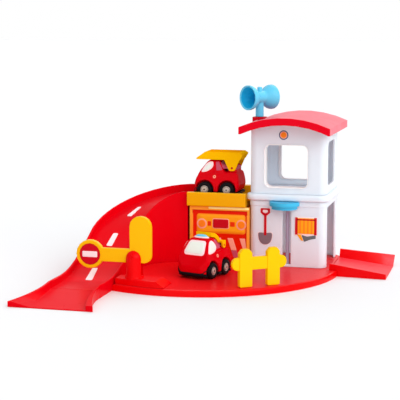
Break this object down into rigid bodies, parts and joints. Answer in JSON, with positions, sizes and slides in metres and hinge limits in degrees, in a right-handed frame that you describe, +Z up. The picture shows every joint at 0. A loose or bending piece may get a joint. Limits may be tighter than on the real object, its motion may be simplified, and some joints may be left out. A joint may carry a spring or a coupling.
{
  "type": "toy fire station",
  "caption": "Moulded plastic toy fire station with a curved car ramp, garage deck, pole lift tower, siren, barrier, fence and toy trucks.",
  "frame": {"origin": "the centre of the round yard, on the ground", "axes": "X to the right along the tower front, Y to the back, Z up"},
  "size_m": [0.5033, 0.4953, 0.304],
  "materials": {
    "red_plastic": "gloss",
    "white_plastic": "gloss",
    "yellow_plastic": "gloss",
    "amber_plastic": "gloss",
    "orange_plastic": "gloss",
    "blue_plastic": "gloss",
    "grey_plastic": "satin",
    "dark_red_plastic": "gloss",
    "black_plastic": "matte",
    "steel": "satin"
  },
  "bodies": {
    "station": {"base_plate": "red_plastic", "car_ramp": "red_plastic", "lower_exit_ramp": "red_plastic", "side_exit_ramp": "red_plastic", "picket_fence": "yellow_plastic", "garage_walls": "orange_plastic", "garage_deck": "amber_plastic", "tower_lower_walls": "white_plastic", "tower_floor_tray": "white_plastic", "tower_upper_walls": "white_plastic", "tower_roof": "red_plastic", "siren_socket": "dark_red_plastic", "slide_pole": "grey_plastic", "barrier_post": "red_plastic"},
    "barrier_arm": {"barrier_pin": "steel", "barrier_lever": "amber_plastic", "barrier_sign": "dark_red_plastic"},
    "door": {"garage_door": "red_plastic"},
    "lift": {"lift_platform": "blue_plastic"},
    "siren": {"siren_horn": "blue_plastic"},
    "tipper": {"tipper_body": "red_plastic", "tipper_chassis": "black_plastic", "tipper_bed_pin": "dark_red_plastic"},
    "tipper_front_wheels": {"tipper_front_axle": "steel", "tipper_front_wheel_left": "black_plastic", "tipper_front_wheel_right": "black_plastic"},
    "tipper_rear_wheels": {"tipper_rear_axle": "steel", "tipper_rear_wheel_left": "black_plastic", "tipper_rear_wheel_right": "black_plastic"},
    "tipper_tray_body": {"tipper_bed": "yellow_plastic"},
    "engine": {"engine_body": "red_plastic", "engine_chassis": "black_plastic", "engine_boom_pin": "dark_red_plastic", "engine_light_bar": "blue_plastic"},
    "engine_front_wheels": {"engine_front_axle": "steel", "engine_front_wheel_left": "black_plastic", "engine_front_wheel_right": "black_plastic"},
    "engine_rear_wheels": {"engine_rear_axle": "steel", "engine_rear_wheel_left": "black_plastic", "engine_rear_wheel_right": "black_plastic"},
    "engine_boom_body": {"engine_boom": "yellow_plastic"}
  },
  "joints": [
    {"name": "barrier_lift", "type": "hinge", "parent": "station", "child": "barrier_arm", "pos_m": [-0.055, -0.2, 0.054], "axis": [0, 1, 0], "range_deg": [0, 80]},
    {"name": "garage_door_swing", "type": "hinge", "parent": "station", "child": "door", "pos_m": [0.03075, -0.0065, 0.0951], "axis": [1, 0, 0], "range_deg": [0, 80]},
    {"name": "lift_slide", "type": "slide", "parent": "station", "child": "lift", "axis": [0, 0, -1], "range_m": [0, 0.09]},
    {"name": "siren_spin", "type": "hinge", "parent": "station", "child": "siren", "pos_m": [0.092, 0.012, 0.2525], "axis": [0, 0, 1], "continuous": true},
    {"name": "tipper_roll", "type": "slide", "parent": "station", "child": "tipper", "axis": [-1, 0, 0], "range_m": [-0.01, 0.02]},
    {"name": "tipper_front_wheels_turn", "type": "hinge", "parent": "tipper", "child": "tipper_front_wheels", "pos_m": [0.00125, 0.033, 0.1313], "axis": [0, -1, 0], "range_deg": [-60, 120]},
    {"name": "tipper_rear_wheels_turn", "type": "hinge", "parent": "tipper", "child": "tipper_rear_wheels", "pos_m": [0.03875, 0.033, 0.1313], "axis": [0, -1, 0], "range_deg": [-60, 120]},
    {"name": "tipper_bed_tilt", "type": "hinge", "parent": "tipper", "child": "tipper_tray_body", "pos_m": [0.046, 0.033, 0.1668], "axis": [0, 1, 0], "range_deg": [0, 45]},
    {"name": "engine_roll", "type": "slide", "parent": "station", "child": "engine", "axis": [-0.2963, -0.9551, 0], "range_m": [-0.03, 0.03]},
    {"name": "engine_front_wheels_turn", "type": "hinge", "parent": "engine", "child": "engine_front_wheels", "pos_m": [0.02445, -0.12491, 0.0232], "axis": [0.9551, -0.2963, 0], "range_deg": [-150, 150]},
    {"name": "engine_rear_wheels_turn", "type": "hinge", "parent": "engine", "child": "engine_rear_wheels", "pos_m": [0.03556, -0.08909, 0.0232], "axis": [0.9551, -0.2963, 0], "range_deg": [-150, 150]},
    {"name": "engine_boom_raise", "type": "hinge", "parent": "engine", "child": "engine_boom_body", "pos_m": [0.03759, -0.08255, 0.0564], "axis": [-0.9551, 0.2963, 0], "range_deg": [0, 50]}
  ],
  "couplings": [
    {"joint": "tipper_front_wheels_turn", "follows": "tipper_roll", "rad_per_m": 80},
    {"joint": "tipper_rear_wheels_turn", "follows": "tipper_roll", "rad_per_m": 80},
    {"joint": "engine_front_wheels_turn", "follows": "engine_roll", "rad_per_m": 80},
    {"joint": "engine_rear_wheels_turn", "follows": "engine_roll", "rad_per_m": 80}
  ]
}
